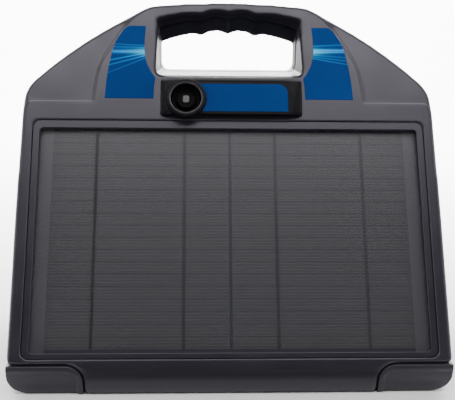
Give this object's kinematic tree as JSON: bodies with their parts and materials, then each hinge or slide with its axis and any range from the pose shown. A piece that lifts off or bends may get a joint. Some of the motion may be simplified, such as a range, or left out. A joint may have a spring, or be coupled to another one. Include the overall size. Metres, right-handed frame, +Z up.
{
  "type": "fence energizer",
  "caption": "Portable solar fence energizer: wedge housing with carry handle, leaning solar module, push button, rear battery door and two screw terminals.",
  "frame": {"origin": "on the floor under the middle of the base", "axes": "+X to the right when facing the solar module, +Y towards the rear wall, +Z up"},
  "size_m": [0.3, 0.15, 0.2533],
  "materials": {
    "front_shell": "satin",
    "rear_shell": "satin",
    "shell_gasket": "matte",
    "housing_screws": "satin",
    "corner_foot_left": "matte",
    "corner_foot_right": "matte",
    "panel_bezel": "satin",
    "panel_cover": "satin",
    "solar_cells": "satin",
    "cell_ribbons": "satin",
    "panel_backing": "matte",
    "panel_junction_box": "matte",
    "panel_leads": "satin",
    "control_housing": "satin",
    "power_button": "satin",
    "button_window": "satin",
    "switch_plunger": "satin",
    "switch_body": "matte",
    "label_left": "satin",
    "label_right": "satin",
    "label_center": "satin",
    "battery_door": "satin",
    "door_seal": "matte",
    "door_hinge_pin": "satin",
    "door_latch": "satin",
    "battery": "satin",
    "battery_terminals": "satin",
    "battery_lead_red": "satin",
    "battery_lead_black": "satin",
    "circuit_board": "satin",
    "board_screws": "satin",
    "pulse_transformer": "satin",
    "storage_capacitors": "gloss",
    "fence_stud": "satin",
    "earth_stud": "satin",
    "stud_nuts": "satin",
    "fence_washer": "satin",
    "earth_washer": "satin",
    "fence_knob": "satin",
    "earth_knob": "satin",
    "fence_lead": "satin",
    "earth_lead": "satin"
  },
  "bodies": {
    "housing": {"front_shell": "front_shell", "rear_shell": "rear_shell", "shell_gasket": "shell_gasket", "housing_screws": "housing_screws", "corner_foot_left": "corner_foot_left", "corner_foot_right": "corner_foot_right", "panel_bezel": "panel_bezel", "panel_cover": "panel_cover", "solar_cells": "solar_cells", "cell_ribbons": "cell_ribbons", "panel_backing": "panel_backing", "panel_junction_box": "panel_junction_box", "panel_leads": "panel_leads", "control_housing": "control_housing", "switch_body": "switch_body", "label_left": "label_left", "label_right": "label_right", "label_center": "label_center", "door_seal": "door_seal", "door_hinge_pin": "door_hinge_pin", "battery": "battery", "battery_terminals": "battery_terminals", "battery_lead_red": "battery_lead_red", "battery_lead_black": "battery_lead_black", "circuit_board": "circuit_board", "board_screws": "board_screws", "pulse_transformer": "pulse_transformer", "storage_capacitors": "storage_capacitors", "fence_stud": "fence_stud", "earth_stud": "earth_stud", "stud_nuts": "stud_nuts", "fence_lead": "fence_lead", "earth_lead": "earth_lead"},
    "button": {"power_button": "power_button", "button_window": "button_window", "switch_plunger": "switch_plunger"},
    "door": {"battery_door": "battery_door"},
    "latch": {"door_latch": "door_latch"},
    "fence_clamp": {"fence_washer": "fence_washer"},
    "fence_nut": {"fence_knob": "fence_knob"},
    "earth_clamp": {"earth_washer": "earth_washer"},
    "earth_nut": {"earth_knob": "earth_knob"}
  },
  "joints": [
    {"name": "button_press", "type": "slide", "parent": "housing", "child": "button", "axis": [0, 0.866, -0.5], "range_m": [0, 0.0015], "stiffness_N_per_m": 300},
    {"name": "door_swing", "type": "hinge", "parent": "housing", "child": "door", "pos_m": [-0.1065, 0.072, 0.059], "axis": [0, 0, 1], "range_deg": [0, 105]},
    {"name": "latch_turn", "type": "hinge", "parent": "door", "child": "latch", "pos_m": [0.051, 0.072, 0.059], "axis": [0, 1, 0], "range_deg": [0, 90]},
    {"name": "fence_clamp_lift", "type": "slide", "parent": "housing", "child": "fence_clamp", "axis": [0, 1, 0], "range_m": [0, 0.004]},
    {"name": "fence_knob_turn", "type": "hinge", "parent": "fence_clamp", "child": "fence_nut", "pos_m": [0.09, 0.06, 0.046], "axis": [0, -1, 0], "range_deg": [0, 1440]},
    {"name": "earth_clamp_lift", "type": "slide", "parent": "housing", "child": "earth_clamp", "axis": [0, 1, 0], "range_m": [0, 0.004]},
    {"name": "earth_knob_turn", "type": "hinge", "parent": "earth_clamp", "child": "earth_nut", "pos_m": [0.122, 0.06, 0.046], "axis": [0, -1, 0], "range_deg": [0, 1440]}
  ],
  "couplings": [
    {"joint": "fence_knob_turn", "follows": "fence_clamp_lift", "rad_per_m": 6283.2},
    {"joint": "earth_knob_turn", "follows": "earth_clamp_lift", "rad_per_m": 6283.2}
  ]
}
